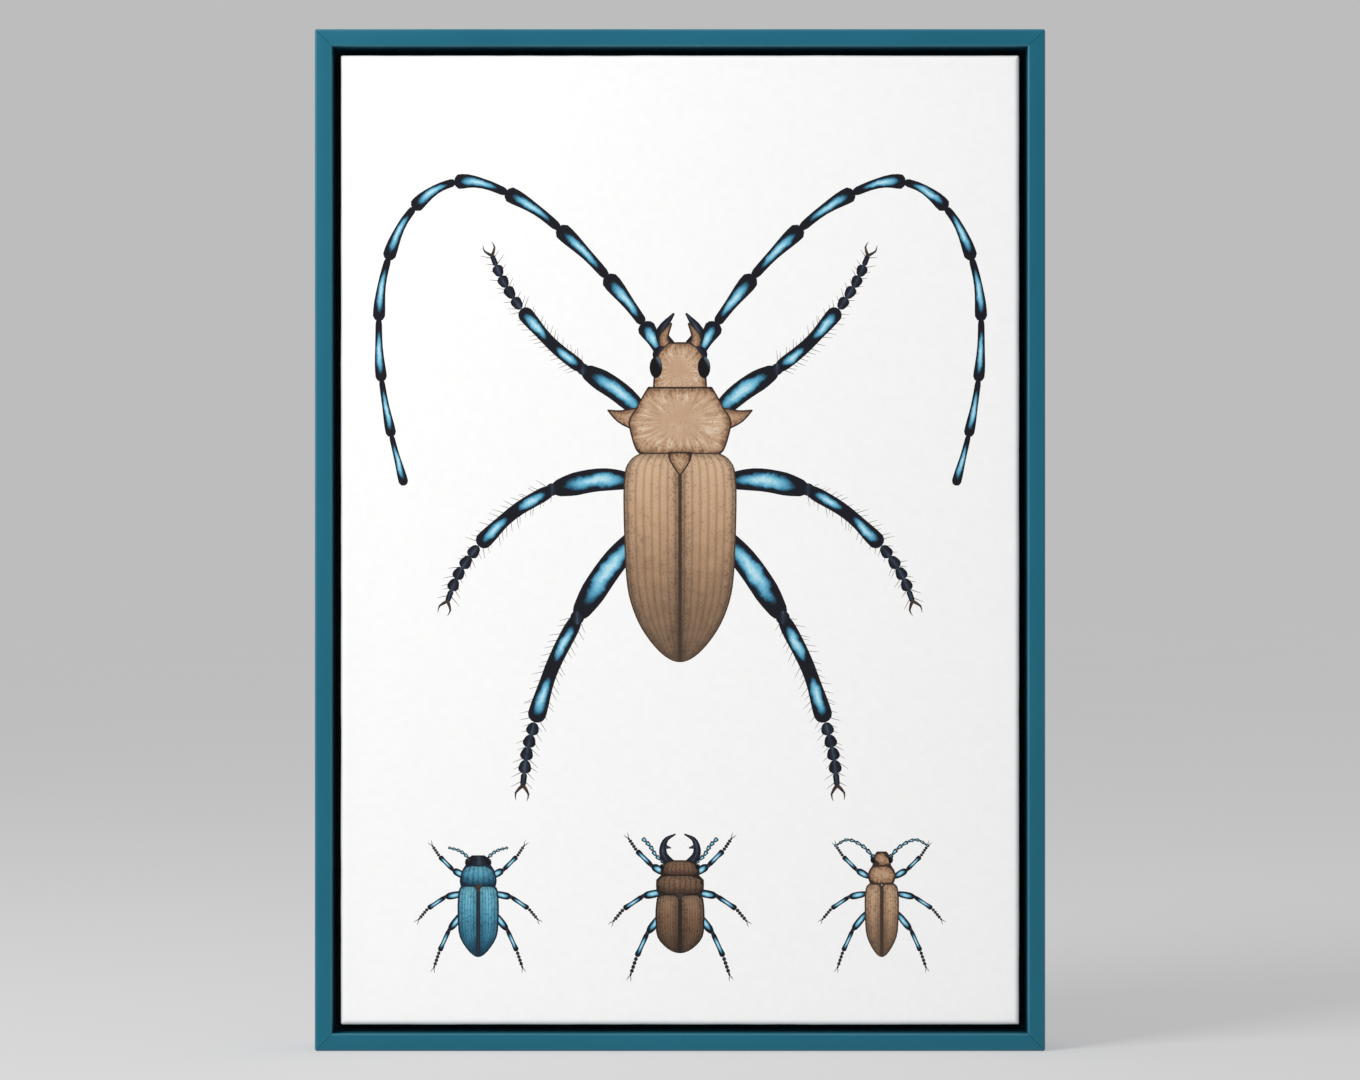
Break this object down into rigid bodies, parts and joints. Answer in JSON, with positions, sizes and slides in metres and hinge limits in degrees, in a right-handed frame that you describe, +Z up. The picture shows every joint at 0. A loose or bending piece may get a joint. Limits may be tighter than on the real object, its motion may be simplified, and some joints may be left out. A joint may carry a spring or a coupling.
{
  "type": "framed canvas print",
  "caption": "Upright stretched canvas print held in an L-section floater frame, screwed from behind and hung on a toothed hanger.",
  "frame": {"origin": "the hanger's middle notch, in the plane of the wall, where the wall nail carries the picture", "axes": "+Z up, +X to the right seen from the front, -Y out of the wall towards the viewer, +Y into the wall"},
  "size_m": [0.376, 0.0344, 0.526],
  "materials": {
    "frame_lacquer": "solid wood moulding under a satin teal lacquer, black inside the float gap, bare wood behind",
    "pine_bar": "planed, unfinished pine with straight grain",
    "printed_canvas": "matt primed white plain-weave canvas with a printed plate on its face",
    "zinc_screw": "bright zinc-plated countersunk wood screws",
    "hanger_steel": "zinc-plated pressed steel strip and its nails",
    "bumper_rubber": "soft matt black rubber pads"
  },
  "bodies": {
    "root": {"frame_rail_top": "frame_lacquer", "frame_rail_bottom": "frame_lacquer", "frame_rail_left": "frame_lacquer", "frame_rail_right": "frame_lacquer", "stretcher_bar_top": "pine_bar", "stretcher_bar_bottom": "pine_bar", "stretcher_bar_left": "pine_bar", "stretcher_bar_right": "pine_bar", "canvas": "printed_canvas", "frame_screw_top": "zinc_screw", "frame_screw_bottom": "zinc_screw", "frame_screw_left_1": "zinc_screw", "frame_screw_left_2": "zinc_screw", "frame_screw_right_1": "zinc_screw", "frame_screw_right_2": "zinc_screw", "sawtooth_hanger": "hanger_steel", "hanger_nail_left": "hanger_steel", "hanger_nail_right": "hanger_steel", "wall_bumper_left": "bumper_rubber", "wall_bumper_right": "bumper_rubber"}
  },
  "joints": []
}
